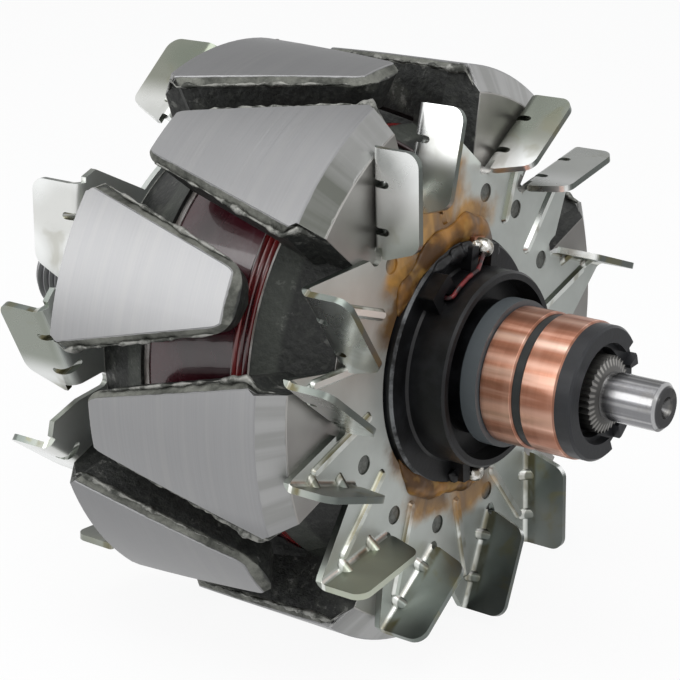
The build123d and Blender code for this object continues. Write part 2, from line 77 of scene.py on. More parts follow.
# Where forms of the solids begin and end, as far as the finishes and the pieces here need it.
SHEET = 1.1 * MM
FLANGE_TOP = CLAW_FACE + 2.4 * MM
ROOT_CONE = 4.5 * MM
CLAW_BEVEL = 1.45 * MM
NOTCH_FLOOR_RADIUS = 38.2 * MM
NOTCH_FROM_END = (8.6 * MM, 12.8 * MM)
WELD_RADII = (26.2 * MM, 30.4 * MM)
RIB_HEIGHTS = (1.25 * MM, 1.95 * MM)
THREAD_LENGTH = 18.2 * MM
TEETH_FROM_END = 9.9 * MM
TOOTH_COUNT = 36
TOOTH_ROOT = 4.8 * MM
PIN_LENGTH = 9.6 * MM
PIN_RADIUS = 4.0 * MM
CENTRE_HOLE_RADIUS = 1.7 * MM
LOOSE_TURNS_LENGTH = 3.6 * MM
COLLAR_LENGTH = 3.6 * MM
COLLAR_RADII = (11.0 * MM, 14.0 * MM)
DIVIDER_RADIUS = 10.5 * MM
SOOTED_LEAD_RADIUS = 18.3 * MM

# Angles round the shaft are called places here. They are in degrees, from -Y towards +Z.
# Claws: count, place of one, and half width in mm at distances in mm from the middle between the pole faces.
CLAW_COUNT = 12
CLAW_PLACE = 22.8
CLAW_EDGE = ((22.9, 12.3), (21.4, 12.6), (18.9, 14.1), (-11.5, 5.9))
# Claw whose outside gets painted shade.
SHADED_CLAW_PLACE = CLAW_PLACE - 60
# Place where the root cone gets painted shade.
PAINTED_SHADE_CONE_PLACE = 43
# Blades whose outer sides get painted shade: place, half span and share of the shaded colour.
DRIVE_SHADED_BLADES = ((8, 10, 0.85), (88, 13, 0.95))
SLIP_RING_SHADED_BLADES = ((117, 9, 0.9), (139, 9, 0.45), (170, 9, 0.8))
# Place where the outer sides of the blades near the plate get painted shade.
SHADED_FOOT_PLACE = 57
LIT_BLADE_PLACE = 324
# Place where the inner sides of the blades get painted shade.
SHADED_INNER_BLADE_PLACE = 256
# Resin on the slip ring end fan: the middle place of each run, half its span and how far it goes, in mm.
RESIN_RUNS = ((30, 12, 3.5), (50, 12, 7.5), (66, 10, 12.5), (78, 13, 14.0), (98, 12, 6.5),
              (-42, 14, 2.0), (-72, 16, 6.0), (-102, 15, 7.5))
# Slip rings: bands of painted reflection along them, lighter and darker, each with its place, half span and
# share.
RING_PAINTED_HIGHLIGHT_BANDS = ((50, 3, 0.8), (-14, 10, 0.25), (31, 3, 0.3))
RING_PAINTED_SHADE_BANDS = ((39, 2, 0.5), (5, 5, 0.35), (73, 4, 0.4))
# Lumps at the flange's edge: place, distance from the axis, height over the flange, size and stretch, in mm.
VARNISH_LUMPS = ((68, 19.6, 0.1, 1.1, 2.2), (80, 19.5, 0.3, 1.35, 1.6), (88, 19.8, 0.4, 1.3, 1.3),
                 (111, 19.0, 0.3, 1.4, 1.5), (257, 19.5, 0.2, 1.2, 1.6), (276, 19.6, 0.2, 1.2, 1.6))
SOLDER_LUMPS = ((93, 20.1, 1.3, 0.9, 1.1), (100, 19.0, 1.2, 1.0, 1.1), (270, 19.8, 1.1, 0.95, 1.4))

# The camera, as worked out from the photograph.
IMAGE_SIDE = 680
SENSOR = 36.0
FOCAL_PIXELS = 2081.7
CAMERA_TURN = radians(36.88)
CAMERA_LIFT = radians(17.34)
CAMERA_ROLL = radians(0.34)
CAMERA_DISTANCE = 361.79 * MM
AIM_ALONG_SHAFT = 2.05 * MM
AIM_LIFT = -1.11 * MM


class Value:
    """A number that varies over a surface. Arithmetic on it adds the nodes that work it out."""

    def __init__(self, finish, socket):
        self.finish = finish
        self.socket = socket

    def maths(self, operation, *others):
        return self.finish.maths(operation, self, *others)

    def __add__(self, other):
        return self.maths("ADD", other)

    def __sub__(self, other):
        return self.maths("SUBTRACT", other)

    def __rsub__(self, other):
        return self.finish.maths("SUBTRACT", other, self)

    def __mul__(self, other):
        return self.maths("MULTIPLY", other)

    def __truediv__(self, other):
        return self.maths("DIVIDE", other)

    __radd__ = __add__
    __rmul__ = __mul__

    def above(self, edge, softness):
        """0 below an edge and 1 above it, with a smooth step of the given width."""
        return self.finish.add(
            "ShaderNodeMapRange", {"interpolation_type": "SMOOTHSTEP"},
            {"Value": self, "From Min": edge - softness / 2, "From Max": edge + softness / 2})

    def below(self, edge, softness):
        return 1 - self.above(edge, softness)

    def between(self, low, high, softness):
        return self.above(low, softness) * self.below(high, softness)


def turned_by(place, middle):
    """Angle between two places in degrees, the short way round."""
    return ((place - middle + 540).maths("FLOORED_MODULO", 360) - 180).maths("ABSOLUTE")


class Finish:
    """One surface finish: a Principled shader and the nodes that vary it over the surface."""

    def __init__(self, name, **sockets):
        self.material = bpy.data.materials.new(name)
        self.material.use_nodes = True
        self.tree = self.material.node_tree
        self.shader = self.tree.nodes["Principled BSDF"]
        for socket, value in sockets.items():
            self.vary(socket.replace("_", " ").title().replace("Ior", "IOR"), value)
        self.spot = self.add("ShaderNodeTexCoord", output="Object")
        axes = self.add("ShaderNodeSeparateXYZ", values={"Vector": self.spot}, output=None)
        self.x, self.y, self.z = (Value(self, axes.outputs[axis]) for axis in "XYZ")

    def feed(self, socket, value):
        """Links a varying value to a socket, or sets the socket to a plain one."""
        if isinstance(value, Value):
            self.tree.links.new(value.socket, socket)
        elif isinstance(value, tuple) and socket.type == "RGBA":
            socket.default_value = (*value, 1)
        else:
            socket.default_value = value

    def vary(self, socket, value):
        self.feed(self.shader.inputs[socket], value)

    def varied(self, socket):
        """What already drives a socket of the shader."""
        return Value(self, self.shader.inputs[socket].links[0].from_socket)

    def add(self, kind, settings=None, values=None, output=0):
        """Adds a node with its settings and inputs, and gives one output, or the node if output is None."""
        node = self.tree.nodes.new(kind)
        for setting, value in (settings or {}).items():
            setattr(node, setting, value)
        for socket, value in (values or {}).items():
            self.feed(node.inputs[socket], value)
        return node if output is None else Value(self, node.outputs[output])

    def maths(self, operation, *values):
        return self.add("ShaderNodeMath", {"operation": operation}, dict(enumerate(values)))

    def radius(self):
        """Distance from the shaft's axis."""
        return (self.y * self.y + self.z * self.z).maths("SQRT")

    def direction(self):
        """Angle round the shaft in radians, from -Y towards +Z."""
        return self.maths("ARCTAN2", self.z, self.y * -1)

    def place(self):
        """The same in degrees."""
        return self.direction() * degrees(1)

    def nearness(self, place, half_span, softness):
        """1 within an angle of a place round the shaft, and 0 beyond it."""
        return turned_by(self.place(), place).below(half_span, softness)

    def leaning(self):
        """How far a face looks round the shaft, towards higher places, from -1 to 1."""
        normal = self.add("ShaderNodeNewGeometry", output="True Normal")
        axes = self.add("ShaderNodeSeparateXYZ", values={"Vector": normal}, output=None)
        turned = Value(self, axes.outputs["Y"]) * self.z - Value(self, axes.outputs["Z"]) * self.y
        return turned / self.radius()

    def stretched(self, along_x, around_shaft, outward):
        """Coordinates that follow the turned surfaces: along the shaft, round it and out from it."""
        return self.add("ShaderNodeCombineXYZ", values={
            "X": self.x * along_x, "Y": self.direction() * around_shaft, "Z": self.radius() * outward})

    def noise(self, spot, scale, detail=3.0, roughness=0.5, distortion=0.0):
        return self.add("ShaderNodeTexNoise", values={
            "Vector": spot, "Scale": scale, "Detail": detail, "Roughness": roughness,
            "Distortion": distortion})

    def mix(self, factor, first, second):
        """Colour that goes from the first to the second as the factor goes from 0 to 1."""
        node = self.add("ShaderNodeMix", {"data_type": "RGBA", "clamp_factor": True}, output=None)
        self.feed(node.inputs[0], factor)
        self.feed(node.inputs[6], first)
        self.feed(node.inputs[7], second)
        return Value(self, node.outputs[2])

    def layers(self, colour, *layers):
        """Colour with others laid over it in turn, each given as how far it covers and the colour itself."""
        for cover, coat in layers:
            colour = self.mix(cover, colour, coat)
        return colour

    def colour(self, value):
        self.vary("Base Color", value)

    def bump(self, height, depth):
        """Bump from a height of 0 to 1 that stands for a depth in metres."""
        self.vary("Normal", self.add("ShaderNodeBump", values={
            "Height": height, "Distance": depth, "Strength": 1.0}))


def dress(finish, *nodes):
    """Gives CAD nodes their finish."""
    for node in nodes:
        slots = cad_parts[node].data.materials
        for index in range(len(slots)):
            slots[index] = finish.material


def claw_steel():
    """Claws: turned bright outside, dull on the bevels, near black varnish on the sides and inside, with
    painted shade on one claw and on the root cone.
    """
    finish = Finish("claw_steel")
    radius = finish.radius()
    turned_lines = finish.noise(finish.stretched(2600, 1.2, 0), 1.0, detail=4, roughness=0.75)
    broad_lines = finish.noise(finish.stretched(420, 0.6, 0), 1.0, detail=2)
    cloud = finish.noise(finish.spot, 60)
    wander = finish.noise(finish.spot, 420, detail=2) - 0.5
    grain = finish.noise(finish.spot, 900, detail=5, roughness=0.7)
    patch = finish.noise(finish.spot, 170)
    lumpy = finish.noise(finish.spot, 380, detail=4, roughness=0.6)
    from_middle = (finish.x - CLAWS_MIDDLE).maths("ABSOLUTE")

    # The outside, the turned cone at the roots and the end faces are bare steel.
    outside = (radius + wander * (0.3 * MM)).above(CLAW_RADIUS - 0.22 * MM, 0.12 * MM)
    cone_edge = CLAW_RADIUS + CLAWS_HALF_LENGTH - ROOT_CONE
    on_cone = (radius + from_middle + wander * (0.3 * MM)).above(cone_edge, 0.25 * MM)
    bare = outside.maths("MAXIMUM", on_cone)
    end_face = from_middle.above(CLAWS_HALF_LENGTH - 0.15 * MM, 0.1 * MM)
    cone_band = on_cone * (1 - outside)
    # The root cone gets painted shade at one place and in streaks, for the dark reflections on it.
    painted_reflection_streak = finish.noise(finish.stretched(30, 14, 0), 1.0).above(0.5, 0.2)
    painted_cone_shade = finish.nearness(PAINTED_SHADE_CONE_PLACE, 9, 9) * 0.85 + painted_reflection_streak * 0.35
    # One claw's outside is darkened as painted shade.
    painted_shade_claw = finish.nearness(SHADED_CLAW_PLACE, 18, 4)
    steel = finish.layers(
        finish.mix(turned_lines * 0.6 + cloud * 0.3, (0.225, 0.227, 0.233), (0.350, 0.350, 0.353)),
        ((broad_lines - 0.5) * 0.8, (0.37, 0.365, 0.35)),
        (cone_band * 0.45, (0.42, 0.42, 0.41)),
        (cone_band * painted_cone_shade, (0.135, 0.140, 0.125)),
        (painted_shade_claw * 0.30, (0.13, 0.13, 0.135)))
    face_steel = finish.mix(cloud.above(0.5, 0.3), (0.26, 0.25, 0.24), (0.37, 0.36, 0.345))

    # The rest is under varnish, with crusts on it and a lighter strip of painted highlight, for the glossy
    # varnish, on the notches' floor.
    bevel = (radius + wander * (0.7 * MM)).above(CLAW_RADIUS - CLAW_BEVEL, 0.3 * MM)
    dull = finish.mix(patch.above(0.50, 0.3) * 0.7 + grain.above(0.5, 0.4) * 0.4,
                      (0.030, 0.032, 0.026), (0.185, 0.188, 0.165))
    crust = finish.noise(finish.spot, 520, detail=4, roughness=0.7).above(0.60, 0.08)
    crust = crust * patch.above(0.56, 0.12)
    near_end, far_end = NOTCH_FROM_END
    painted_notch_highlight = from_middle.between(CLAWS_HALF_LENGTH - far_end, CLAWS_HALF_LENGTH - near_end, 1.2 * MM)
    painted_notch_highlight = painted_notch_highlight * radius.below(NOTCH_FLOOR_RADIUS, 0.6 * MM)
    varnish = finish.layers(
        finish.mix(grain.above(0.58, 0.25), (0.008, 0.009, 0.008), (0.030, 0.032, 0.027)),
        (patch.above(0.64, 0.12) * 0.5, (0.075, 0.078, 0.066)),
        (crust * 0.75, (0.17, 0.17, 0.155)),
        (painted_notch_highlight * (0.08 + patch * 0.6), (0.085, 0.095, 0.078)),
        (bevel, dull))

    metal = bare.maths("MAXIMUM", end_face)
    finish.colour(finish.layers(varnish, (bare, steel), (end_face, face_steel)))
    finish.vary("Metallic", metal.maths("MAXIMUM", bevel * 0.45) * 0.95)
    finish.vary("Roughness", metal * -0.22 + 0.55 + turned_lines * 0.14)
    finish.bump((1 - metal) * lumpy + metal * turned_lines * 0.05, 0.5 * MM)
    return finish


def shaft_steel():
    """Shaft: ground pin with fine lines and long soft streaks of painted reflection, dark thread, painted
    shade on the pin's end, and the spline drawn in painted highlight and shade.
    """
    finish = Finish("shaft_steel", metallic=1.0)
    radius = finish.radius()
    lines = finish.noise(finish.stretched(5200, 1.5, 0), 1.0, roughness=0.7)
    streak = finish.noise(finish.stretched(18, 3.4, 0), 1.0, detail=2)
    stain = finish.noise(finish.spot, 260)
    threaded = finish.x.below(SHAFT_LOW.x + THREAD_LENGTH, 0.4 * MM)
    # The spline is drawn as stripes of painted highlight over painted shade.
    toothed = finish.x.between(CLAW_FACE, SHAFT_HIGH.x - TEETH_FROM_END, 0.2 * MM)
    painted_spline_stripes = (finish.place() * radians(TOOTH_COUNT)).maths("SINE").above(0.1, 0.9)
    painted_spline_stripes = painted_spline_stripes * radius.above(TOOTH_ROOT, 0.5 * MM)
    pin_side = radius.above(PIN_RADIUS - 0.1 * MM, 0.1 * MM)
    pin_side = pin_side * finish.x.above(SHAFT_HIGH.x - PIN_LENGTH, 0.2 * MM)
    end_face = finish.x.above(SHAFT_HIGH.x - 0.3 * MM, 0.2 * MM)
    finish.colour(finish.layers(
        finish.mix(lines, (0.30, 0.30, 0.31), (0.47, 0.47, 0.47)),
        # Dark streaks along the pin are painted reflection.
        (streak.above(0.5, 0.12) * pin_side * 0.65, (0.13, 0.13, 0.14)),
        # The pin's end face and its centre hole are darkened as painted shade.
        (end_face * 0.96, (0.050, 0.050, 0.052)),
        (radius.below(CENTRE_HOLE_RADIUS, 0.2 * MM) * 0.8, (0.04, 0.04, 0.04)),
        (stain.above(0.60, 0.15) * 0.4, (0.22, 0.21, 0.19)),
        (toothed * 0.8, (0.060, 0.057, 0.050)),
        (toothed * painted_spline_stripes * 0.9, (0.38, 0.37, 0.35)),
        (threaded, finish.mix(lines, (0.13, 0.13, 0.135), (0.27, 0.27, 0.275)))))
    finish.vary("Roughness", lines * 0.14 + 0.16 + threaded * 0.12 + toothed * 0.15)
    finish.bump(lines, 0.012 * MM)
    return finish


def varnished_wire():
    """Winding under thick glossy varnish: deep maroon, with red loose turns at the slip ring end."""
    finish = Finish("varnished_wire", coat_weight=0.85, coat_roughness=0.05, ior=1.5, coat_ior=1.5)
    runs = finish.noise(finish.stretched(70, 1.6, 0), 1.0, detail=2)
    dust = finish.noise(finish.stretched(240, 5.0, 0), 1.0, detail=4, roughness=0.65)
    streak = finish.noise(finish.stretched(900, 2.0, 0), 1.0, detail=2)
    loose = finish.x.above(WINDING_END - LOOSE_TURNS_LENGTH, 0.3 * MM)
    finish.colour(finish.layers(
        finish.mix(runs.above(0.5, 0.3), (0.030, 0.003, 0.006), (0.105, 0.016, 0.026)),
        (dust.above(0.6, 0.15) * 0.35, (0.13, 0.070, 0.082)),
        (loose, finish.mix(streak.above(0.5, 0.2), (0.050, 0.005, 0.007), (0.22, 0.022, 0.022)))))
    finish.vary("Roughness", 0.12 + dust * 0.2)
    finish.bump(runs * 0.8 + dust * 0.12, 0.5 * MM)
    return finish


def lead_wire():
    """Red enamel of the winding's leads, with soot on it and black at the solder joints."""
    finish = Finish("lead_wire", roughness=0.35, coat_weight=0.15, coat_roughness=0.15,
                    specular_ior_level=0.3)
    patch = finish.noise(finish.spot, 700, detail=2)
    soot = finish.noise(finish.spot, 330).above(0.52, 0.12)
    soot = soot.maths("MAXIMUM", finish.radius().above(SOOTED_LEAD_RADIUS, 1.2 * MM))
    finish.colour(finish.layers(
        finish.mix(patch, (0.09, 0.007, 0.009), (0.24, 0.020, 0.022)), (soot, (0.02, 0.006, 0.007))))
    finish.bump(patch, 0.08 * MM)
    return finish


def bobbin_nylon():
    """Pale moulded nylon under a stained film of varnish."""
    finish = Finish("bobbin_nylon", roughness=0.4, coat_weight=0.3, coat_roughness=0.2)
    patch = finish.noise(finish.spot, 240, detail=4)
    finish.colour(finish.mix(patch.above(0.5, 0.3), (0.32, 0.28, 0.25), (0.66, 0.62, 0.58)))
    finish.bump(patch, 0.3 * MM)
    return finish


def plated_sheet(name, face_x, inward, painted_shade_blades):
    """Zinc on stamped sheet: bright outside the blades, dull grey-green inside them and on the face, with
    painted highlight on the ribs and outer sides and painted light and shade on some blades.
    """
    finish = Finish(name)
    radius = finish.radius()
    cloud = finish.noise(finish.spot, 95, detail=4, roughness=0.6)
    fine = finish.noise(finish.spot, 1500, roughness=0.7)
    tint = finish.noise(finish.spot, 55, detail=2)
    olive = finish.noise(finish.spot, 130, distortion=0.8)
    waves = finish.noise(finish.spot, 75, detail=1.5)
    height = (finish.x - face_x) * inward
    leaning = finish.leaning()
    outer_side = leaning.below(-0.3, 0.3)
    inner_side = 1 - outer_side
    flat = height.below(1.9 * MM, 0.3 * MM) * leaning.maths("ABSOLUTE").below(0.35, 0.3)
    raised = height.above(RIB_HEIGHTS[0], 0.4 * MM)
    # The ribs are lightened to near white as painted highlight.
    painted_rib_highlight = height.between(*RIB_HEIGHTS, 0.2 * MM)
    root = height.between(1.2 * MM, 3.4 * MM, 0.8 * MM)
    lit = finish.nearness(LIT_BLADE_PLACE, 12, 8) * height.above(1.9 * MM, 1 * MM)
    # Painted shade on the inner sides of the blades at one place.
    painted_shade_inside = finish.nearness(SHADED_INNER_BLADE_PLACE, 20, 14) * height.above(1.6 * MM, 1 * MM)
    weld = height.between(0.5 * MM, 0.9 * MM, 0.12 * MM) * radius.between(*WELD_RADII, 0.4 * MM)
    # Painted shade on the outer sides of the blades near the plate at one place.
    painted_shade_foot = finish.nearness(SHADED_FOOT_PLACE, 13, 6) * radius.below(38.5 * MM, 5 * MM) * finish.x.above(0, MM)

    dull = finish.layers(
        finish.mix(cloud, (0.145, 0.165, 0.150), (0.30, 0.33, 0.305)),
        (height.above(6.0 * MM, 5 * MM) * 0.5, (0.085, 0.098, 0.092)))
    # Outer sides: bright zinc, lightened further as painted highlight.
    bright = finish.layers(
        finish.mix(cloud, (0.78, 0.80, 0.79), (0.95, 0.96, 0.95)),
        (painted_shade_foot * 0.6, (0.34, 0.375, 0.345)),
        # Painted shade on the outer sides of the blades listed.
        *((finish.nearness(place, half_span, 7) * share, (0.16, 0.18, 0.14))
          for place, half_span, share in painted_shade_blades))
    finish.colour(finish.layers(
        dull,
        (outer_side, bright),
        (flat, finish.mix(cloud, (0.42, 0.445, 0.42), (0.66, 0.69, 0.66))),
        (tint.above(0.58, 0.14) * 0.35, (0.34, 0.33, 0.29)),
        (painted_rib_highlight * inner_side * 0.7, (0.92, 0.94, 0.90)),
        (olive.above(0.62, 0.14) * raised * (0.55 - outer_side * 0.3), (0.20, 0.18, 0.075)),
        (root * inner_side * (1 - flat) * olive.above(0.46, 0.2) * 0.85, (0.105, 0.088, 0.035)),
        (lit * inner_side * (0.55 + olive * 0.5), (0.46, 0.49, 0.40)),
        (painted_shade_inside * inner_side * 0.55, (0.040, 0.046, 0.045)),
        (weld * (0.55 + fine * 0.5), (0.05, 0.05, 0.043))))
    finish.vary("Roughness", 0.22 + cloud * 0.2 + weld * 0.2 + flat * 0.10 - outer_side * 0.04)
    finish.vary("Metallic", 1 - flat * 0.32)
    finish.bump(waves, 0.16 * MM)
    return finish


def stained_sheet():
    """The slip ring end fan: plated sheet that amber resin has run over, above and below the flange."""
    finish = plated_sheet("stained_sheet", CLAW_FACE, 1, SLIP_RING_SHADED_BLADES)
    wander = finish.noise(finish.spot, 110, detail=4, roughness=0.6) - 0.5
    streak = finish.noise(finish.stretched(120, 5.5, 100), 1.0, distortion=0.9)
    brown = finish.noise(finish.spot, 170)
    radius = finish.radius() + wander * (7 * MM)
    place = finish.place() + wander * 22
    resin = 0
    for middle, half_span, reach in RESIN_RUNS:
        run = turned_by(place, middle).below(half_span, 12)
        run = run * radius.below(FLANGE_RADIUS + reach * MM, 3.5 * MM)
        resin = run.maths("MAXIMUM", resin)
    resin = resin * (0.72 + streak * 0.6)
    near = radius.below(FLANGE_RADIUS + 4 * MM, 6 * MM)
    amber = finish.layers(
        finish.mix(streak.above(0.5, 0.4), (0.22, 0.105, 0.022), (0.54, 0.285, 0.060)),
        (brown.above(0.52, 0.16) * 0.45, (0.165, 0.085, 0.026)),
        (near * brown.above(0.42, 0.25) * 0.85, (0.080, 0.042, 0.017)))
    finish.colour(finish.mix(resin, finish.varied("Base Color"), amber))
    finish.vary("Metallic", finish.varied("Metallic") * (1 - resin * 0.7))
    finish.vary("Coat Weight", resin * 0.6)
    return finish


def black_moulding():
    """Moulded black plastic: satin, a little dusty, with painted sheen on the collar beside the rings and a
    painted highlight along the flange's edge.
    """
    finish = Finish("black_moulding", coat_weight=0.1, coat_roughness=0.2, specular_ior_level=0.25)
    radius = finish.radius()
    dust = finish.noise(finish.spot, 180, detail=4, roughness=0.65)
    grain = finish.noise(finish.spot, 1400)
    # The collar's blue-grey is painted sheen on the black plastic.
    collar = finish.x.between(INNER_RING_LOW.x - COLLAR_LENGTH, INNER_RING_LOW.x + 0.2 * MM, 0.2 * MM)
    collar = collar * radius.above(COLLAR_RADII[0], 0.3 * MM) * radius.below(COLLAR_RADII[1], 0.5 * MM)
    divider = finish.x.between(INNER_RING_HIGH.x - 0.1 * MM, OUTER_RING_LOW.x + 0.1 * MM, 0.1 * MM)
    divider = divider * radius.above(DIVIDER_RADIUS, 0.2 * MM)
    # Painted highlight along the flange's edge on one side.
    painted_edge_highlight = finish.nearness(0, 55, 40) * radius.above(FLANGE_RADIUS - 0.45 * MM, 0.15 * MM)
    painted_edge_highlight = painted_edge_highlight * finish.x.between(CLAW_FACE + 1.9 * MM, CLAW_FACE + 2.6 * MM, 0.2 * MM)
    nose = finish.x.above(OUTER_RING_HIGH.x - 0.1 * MM, 0.2 * MM)
    finish.colour(finish.layers(
        finish.mix(dust.above(0.55, 0.3), (0.0025, 0.0025, 0.003), (0.010, 0.0105, 0.012)),
        (collar, (0.085, 0.096, 0.102)),
        (divider, (0.024, 0.026, 0.026)),
        (painted_edge_highlight * dust.above(0.5, 0.2), (0.16, 0.165, 0.17)),
        (nose * (0.5 + dust * 0.5), (0.026, 0.027, 0.030))))
    finish.vary("Roughness", 0.28 + dust * 0.25)
    finish.bump(grain * 0.4 + dust * 0.6, 0.06 * MM)
    return finish


def ring_copper():
    """Turned copper with darker and lighter tracks round it, and painted reflections along it in soft streaks
    and bands.
    """
    finish = Finish("ring_copper", metallic=1.0)
    track = finish.noise(finish.stretched(1500, 0.8, 0), 1.0, detail=4, roughness=0.7)
    broad = finish.noise(finish.stretched(260, 0.5, 0), 1.0, detail=1)
    # Soft streaks of painted reflection along the rings, darker and lighter.
    painted_ring_reflections = finish.noise(finish.stretched(25, 4.5, 0), 1.0)
    edge = finish.radius().below(RING_RADIUS - 0.06 * MM, 0.05 * MM)
    # Bands of painted highlight and painted shade at places round the rings.
    painted_highlight_bands = ((finish.nearness(place, half_span, 7) * share, (1.0, 0.74, 0.62))
                    for place, half_span, share in RING_PAINTED_HIGHLIGHT_BANDS)
    painted_shade_bands = ((finish.nearness(place, half_span, 7) * share, (0.25, 0.11, 0.07))
                  for place, half_span, share in RING_PAINTED_SHADE_BANDS)
    finish.colour(finish.layers(
        finish.mix(track, (0.42, 0.165, 0.10), (0.70, 0.34, 0.235)),
        (painted_ring_reflections.above(0.52, 0.2) * 0.6, (0.27, 0.115, 0.07)),
        ((0.5 - painted_ring_reflections) * 4.0, (0.92, 0.62, 0.50)),
        ((broad - 0.5) * 1.2, (0.82, 0.50, 0.39)),
        *painted_highlight_bands,
        *painted_shade_bands,
        (edge * 0.7, (0.16, 0.075, 0.05))))
    finish.vary("Roughness", 0.24 + track * 0.18)
    finish.bump(track, 0.02 * MM)
    return finish


def burr_steel():
    """Rolled burr on the claws' edges: steel that shows through dark varnish in patches."""
    finish = Finish("burr_steel", metallic=0.5)
    patch = finish.noise(finish.spot, 330, detail=4, roughness=0.65)
    grain = finish.noise(finish.spot, 1100)
    finish.colour(finish.mix(patch.above(0.50, 0.18), (0.036, 0.038, 0.032), (0.25, 0.25, 0.23)))
    finish.vary("Roughness", 0.35 + patch * 0.25)
    finish.bump(patch * 0.6 + grain * 0.4, 0.25 * MM)
    return finish


def bright_solder():
    """Solder with burnt flux on it in patches."""
    finish = Finish("bright_solder", metallic=1.0)
    patch = finish.noise(finish.spot, 900)
    finish.colour(finish.mix(patch.above(0.5, 0.3), (0.22, 0.20, 0.16), (0.66, 0.65, 0.62)))
    finish.vary("Roughness", 0.12 + patch * 0.25)
    finish.bump(patch, 0.03 * MM)
    return finish


def amber_resin():
    """Cured resin: amber and brown, paler where it is thin."""
    finish = Finish("amber_resin", coat_weight=0.12, coat_roughness=0.12, specular_ior_level=0.22)
    cloud = finish.noise(finish.spot, 150)
    pale = finish.noise(finish.spot, 260, detail=2)
    finish.colour(finish.layers(
        finish.mix(cloud.above(0.55, 0.3), (0.085, 0.038, 0.010), (0.40, 0.185, 0.034)),
        (pale.above(0.60, 0.14) * 0.5, (0.50, 0.29, 0.075))))
    finish.vary("Roughness", 0.22 + cloud * 0.2)
    finish.vary("Alpha", 0.72 + cloud * 0.4)
    finish.bump(pale, 0.12 * MM)
    return finish


def add_object(name, data):
    """Object with its data, in the scene."""
    added = bpy.data.objects.new(name, data)
    bpy.context.scene.collection.objects.link(added)
    return added


def made_mesh(name, shape):
    """Mesh from a finished bmesh, which is freed."""
    mesh = bpy.data.meshes.new(name)
    shape.to_mesh(mesh)
    shape.free()
    return mesh


def new_piece(name, mesh, finish):
    """Smooth piece that rides on the rotor, with its finish and slot."""
    mesh.shade_smooth()
    mesh.materials.clear()
    mesh.materials.append(finish.material)
    piece = add_object(name, mesh)
    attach(piece, "root")
    return piece


def around(x, radius, place):
    """Point at a distance from the shaft's axis and a place round it."""
    return Vector((x, -radius * cos(radians(place)), radius * sin(radians(place))))


def edged(node, name, finish, width):
    """A merged copy of a CAD node with its sharp edges rounded, in its place."""
    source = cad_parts[node]
    mesh = source.data.copy()
    mesh.transform(source.matrix_world)
    shape = bmesh.new()
    shape.from_mesh(mesh)
    bmesh.ops.remove_doubles(shape, verts=shape.verts, dist=0.002 * MM)
    bmesh.ops.dissolve_limit(shape, angle_limit=radians(0.5), verts=shape.verts, edges=shape.edges)
    shape.to_mesh(mesh)
    shape.free()
    if "custom_normal" in mesh.attributes:
        mesh.attributes.remove(mesh.attributes["custom_normal"])
    piece = new_piece(name, mesh, finish)
    bevel = piece.modifiers.new("rounded_edges", "BEVEL")
    bevel.width = width
    bevel.segments = 2
    bevel.limit_method = "ANGLE"
    bevel.angle_limit = radians(34)
    bevel.harden_normals = True
    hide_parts(node)


def resin_bead(name, node, finish, first, last, reach, seed):
    """Bead of resin in the corner between the flange's edge and the fan, lapping a little over the flange."""
    shape = bmesh.new()
    bmesh.ops.create_uvsphere(shape, u_segments=28, v_segments=200, radius=1.0)
    for vert in shape.verts:
        # The sphere's poles become the bead's two ends, and its rings the bead's sections.
        share = acos(max(-1, min(1, -vert.co.z))) / radians(180)
        place = first + (last - first) * share
        ring = max(hypot(vert.co.x, vert.co.y), 1e-6)
        across, rise = (vert.co.x / ring, vert.co.y / ring) if ring > 1e-5 else (0, 0)
        spot = around(0, FLANGE_RADIUS, place) * 1000
        wander = noise.noise(spot * 0.15 + Vector((seed, 0, 0)))
        drip = noise.noise(spot * 0.40 + Vector((0, seed, 0)))
        thick = min(1, ring * 1.8) ** 0.7 * (0.85 + 0.7 * wander) * MM
        half_out = (reach / 2 + 0.3 + 0.7 * drip) * thick
        half_up = (1.50 + 0.25 * drip) * thick if rise > 0 else 0.5 * MM
        radius = FLANGE_RADIUS + (reach / 2 - 1.0) * thick + half_out * across
        vert.co = around(CLAW_FACE + SHEET + half_up * rise, radius, place)
    bmesh.ops.recalc_face_normals(shape, faces=shape.faces)
    piece = new_piece(name, made_mesh(name, shape), finish)
    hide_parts(node)


def claw_edge(share):
    """Distance from the middle and half width, in mm, at a share of the way along a claw's edge."""
    legs = list(zip(CLAW_EDGE, CLAW_EDGE[1:]))
    lengths = [hypot(far[0] - near[0], far[1] - near[1]) for near, far in legs]
    way = sum(lengths) * share
    leg = 0
    while leg < len(legs) - 1 and way > lengths[leg]:
        way -= lengths[leg]
        leg += 1
    near, far = legs[leg]
    part = way / lengths[leg]
    return near[0] + (far[0] - near[0]) * part, near[1] + (far[1] - near[1]) * part


